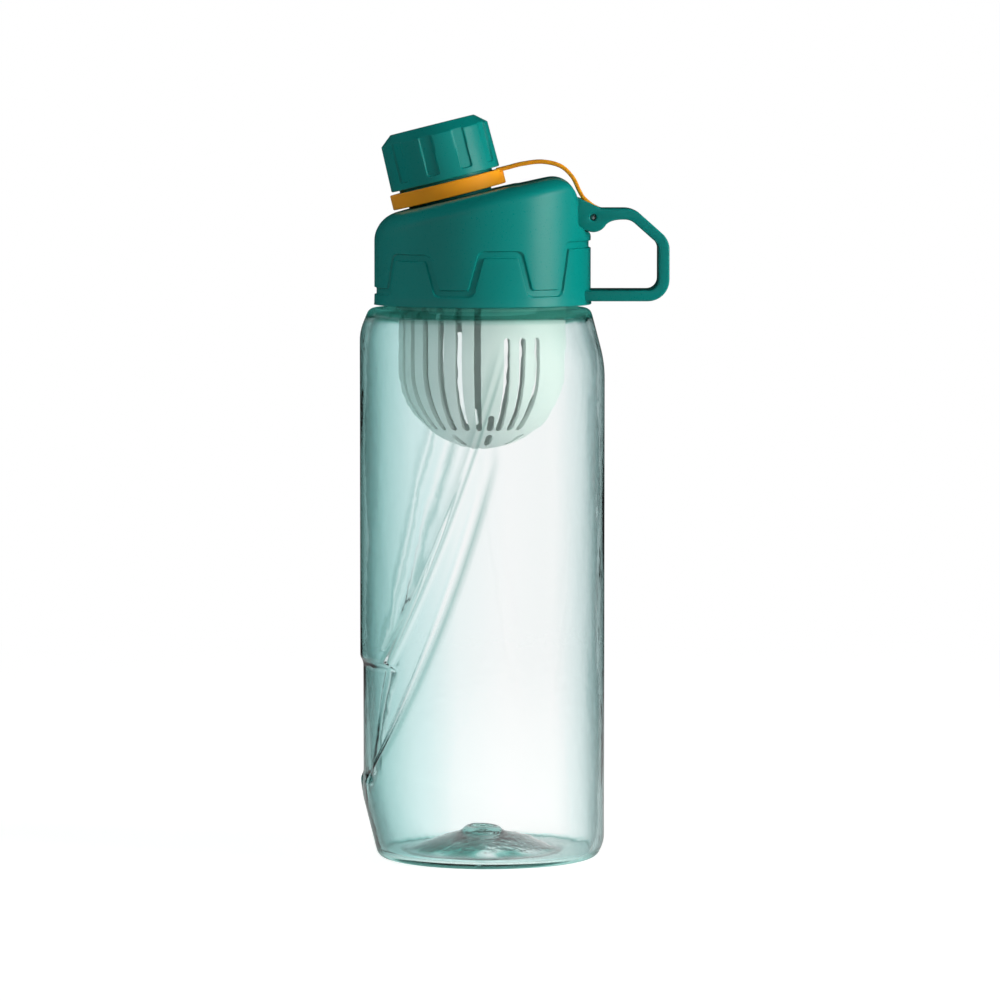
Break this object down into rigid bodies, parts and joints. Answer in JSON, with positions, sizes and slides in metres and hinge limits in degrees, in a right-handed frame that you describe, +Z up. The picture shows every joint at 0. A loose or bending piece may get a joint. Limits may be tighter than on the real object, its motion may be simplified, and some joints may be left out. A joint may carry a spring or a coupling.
{
  "type": "fruit infuser water bottle",
  "caption": "Clear tinted drinking bottle with a grip in its side, a slotted infuser basket in the neck, and a screw lid with a slanted spout, a tethered screw cap and a fixed carrying handle.",
  "frame": {"origin": "centre of the base on the surface that the bottle stands on, on the axis of its round body", "axes": "+Z up along the bottle's axis; -X towards the side that the spout leans to; +X towards the carrying handle; +Y away from the viewer of the picture"},
  "size_m": [0.1008, 0.08, 0.2429],
  "materials": {
    "tinted_copolyester": "clear, pale teal tint, polished",
    "frosted_basket_plastic": "frosted, half clear, fine satin",
    "teal_plastic": "moulded, fine spark texture, satin",
    "orange_silicone": "soft satin silicone",
    "clear_silicone": "milky silicone",
    "steel_pin": "drawn steel wire"
  },
  "bodies": {
    "bottle": {"bottle_body": "tinted_copolyester"},
    "basket": {"infuser_basket": "frosted_basket_plastic"},
    "gasket": {"lid_gasket": "clear_silicone"},
    "lid": {"lid_shell": "teal_plastic", "lid_insert": "teal_plastic", "tether_pin": "steel_pin", "tether_strap": "orange_silicone"},
    "ring": {"tether_ring": "orange_silicone"},
    "cap": {"cap_shell": "teal_plastic", "cap_core": "teal_plastic", "cap_seal": "clear_silicone"}
  },
  "joints": [
    {"name": "basket_lift", "type": "slide", "parent": "bottle", "child": "basket", "axis": [0, 0, 1], "range_m": [0, 0.075]},
    {"name": "lid_rise", "type": "slide", "parent": "basket", "child": "gasket", "axis": [0, 0, 1], "range_m": [0, 0.0063]},
    {"name": "lid_turn", "type": "hinge", "parent": "gasket", "child": "lid", "pos_m": [0, 0, 0.2], "axis": [0, 0, 1], "range_deg": [0, 540]},
    {"name": "cap_rise", "type": "slide", "parent": "lid", "child": "ring", "axis": [-0.2419, 0, 0.9703], "range_m": [0, 0.008], "deforming": ["tether_strap"]},
    {"name": "cap_turn", "type": "hinge", "parent": "ring", "child": "cap", "pos_m": [-0.0103, 0, 0.2152], "axis": [-0.2419, 0, 0.9703], "range_deg": [0, 480]}
  ],
  "couplings": [
    {"joint": "lid_rise", "follows": "lid_turn", "m_per_rad": 0.00066845},
    {"joint": "cap_rise", "follows": "cap_turn", "m_per_rad": 0.0009549}
  ]
}
